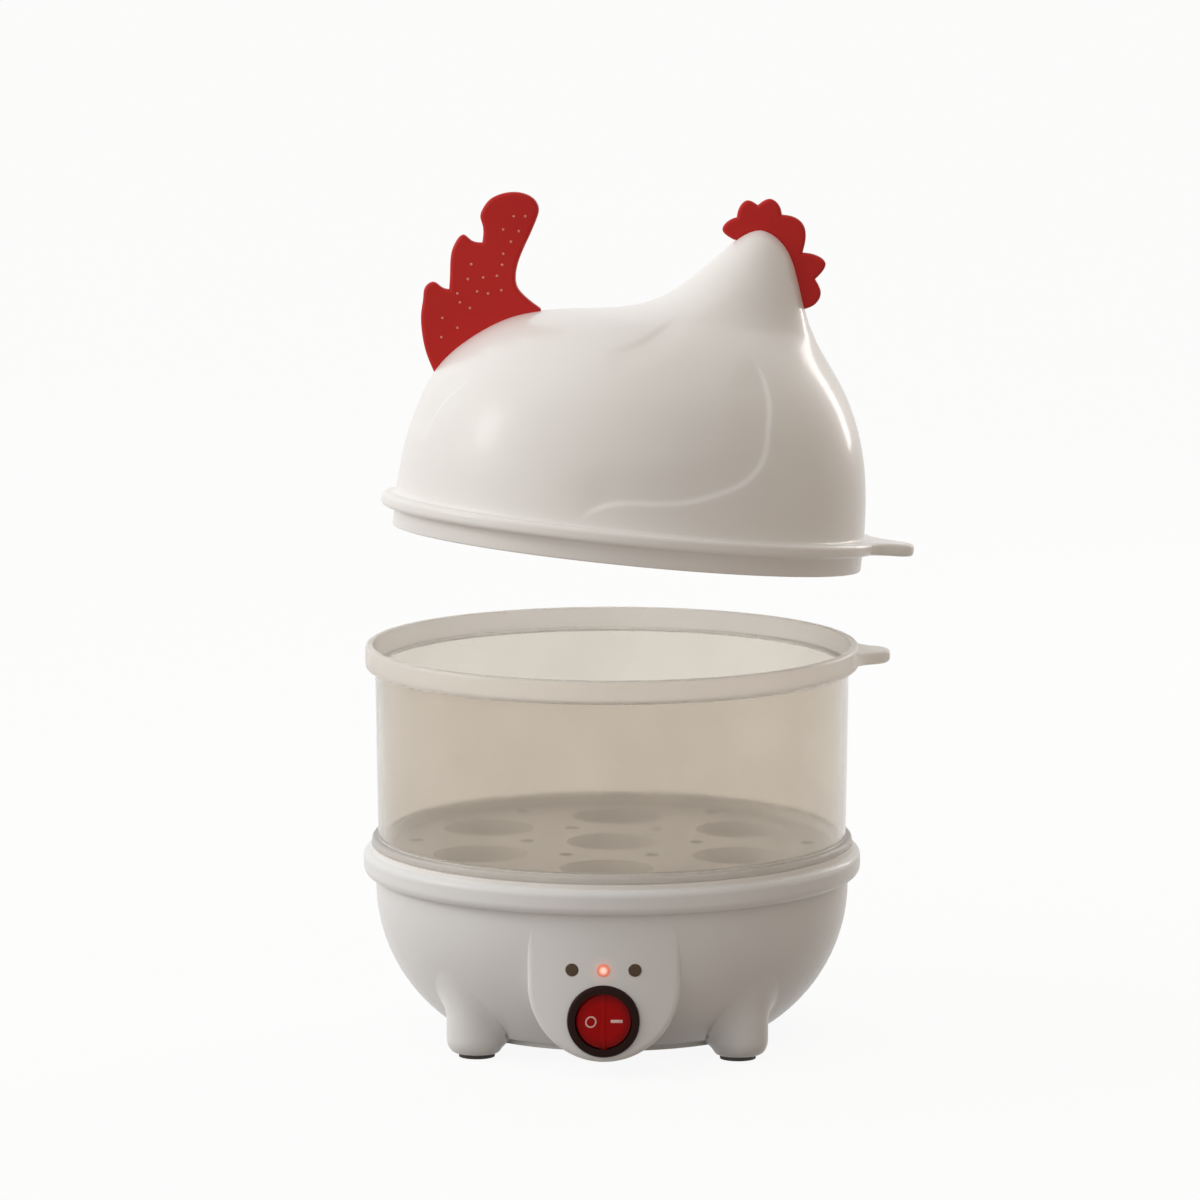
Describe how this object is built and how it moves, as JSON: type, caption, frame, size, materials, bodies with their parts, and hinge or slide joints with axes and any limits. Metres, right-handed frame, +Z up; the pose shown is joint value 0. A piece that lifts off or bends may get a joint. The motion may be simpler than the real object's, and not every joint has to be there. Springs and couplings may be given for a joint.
{
  "type": "electric egg cooker",
  "caption": "Electric egg cooker: hen-shaped lift-off lid with comb and tail, clear steamer bowl, egg rack, heated base with collar and front panel with a round rocker switch and lamps.",
  "frame": {"origin": "on the vessel's axis, at the level of the counter that the feet stand on", "axes": "+Z up along the vessel's axis, -Y out of the switch panel, +X the way the hen looks and the tabs point"},
  "size_m": [0.179, 0.1655, 0.2746],
  "materials": {
    "white_lid": "satin gloss moulding",
    "white_base": "satin gloss moulding",
    "red_crest": "satin gloss",
    "clear_bowl": "milky clear",
    "clear_rack": "milky clear",
    "pad_rubber": "matt",
    "switch_black": "gloss",
    "rocker_red": "translucent gloss",
    "lamp_lit": "lit",
    "lamp_dark": "smoked",
    "pan_steel": "brushed",
    "seal_silicone": "matt",
    "element_metal": "cast",
    "bracket_steel": "plain",
    "screw_steel": "plated",
    "terminal_brass": "plain",
    "inner_plastic": "matt",
    "neon_glass": "clear",
    "lead_brown": "matt",
    "lead_blue": "matt",
    "lead_green": "matt"
  },
  "bodies": {
    "base": {"base_housing": "white_base", "bottom_cover": "white_base", "bracket_nuts": "screw_steel", "cord_gland": "pad_rubber", "cover_screws": "screw_steel", "deck_screws": "screw_steel", "element_bracket": "bracket_steel", "foot_pad_1": "pad_rubber", "foot_pad_2": "pad_rubber", "foot_pad_3": "pad_rubber", "foot_pad_4": "pad_rubber", "heating_element": "element_metal", "heating_pan": "pan_steel", "lamp_holder": "inner_plastic", "lamp_lens": "lamp_lit", "lamp_screws": "screw_steel", "lamp_window_left": "lamp_dark", "lamp_window_right": "lamp_dark", "lead_earth": "lead_green", "lead_element": "lead_brown", "lead_fuse": "lead_brown", "lead_lamp": "lead_blue", "lead_return": "lead_blue", "lead_switch_in": "lead_brown", "lead_switch_out": "lead_brown", "neon_lamp": "neon_glass", "pan_seal": "seal_silicone", "switch_body": "switch_black", "switch_terminals": "terminal_brass", "terminal_block": "inner_plastic", "terminal_screws": "terminal_brass", "thermal_fuse": "inner_plastic", "thermostat": "inner_plastic", "top_deck": "white_base"},
    "rocker": {"rocker": "rocker_red"},
    "rack": {"egg_rack": "clear_rack"},
    "bowl": {"steamer_bowl": "clear_bowl"},
    "lid": {"comb": "red_crest", "crest_screws": "screw_steel", "lid_shell": "white_lid", "tail": "red_crest"}
  },
  "joints": [
    {"name": "rack_lift", "type": "slide", "parent": "base", "child": "rack", "axis": [0, 0, 1], "range_m": [0, 0.06]},
    {"name": "bowl_lift", "type": "slide", "parent": "rack", "child": "bowl", "axis": [0, 0, 1], "range_m": [0, 0.08]},
    {"name": "lid_lift", "type": "hinge", "parent": "bowl", "child": "lid", "pos_m": [0.26282, 0.17861, 0.09351], "axis": [-0.5621, 0.8271, 0], "range_deg": [-6.72, 6]},
    {"name": "switch_rock", "type": "hinge", "parent": "base", "child": "rocker", "pos_m": [0, -0.0757, 0.0187], "axis": [0, 0, 1], "range_deg": [-20, 0]}
  ]
}
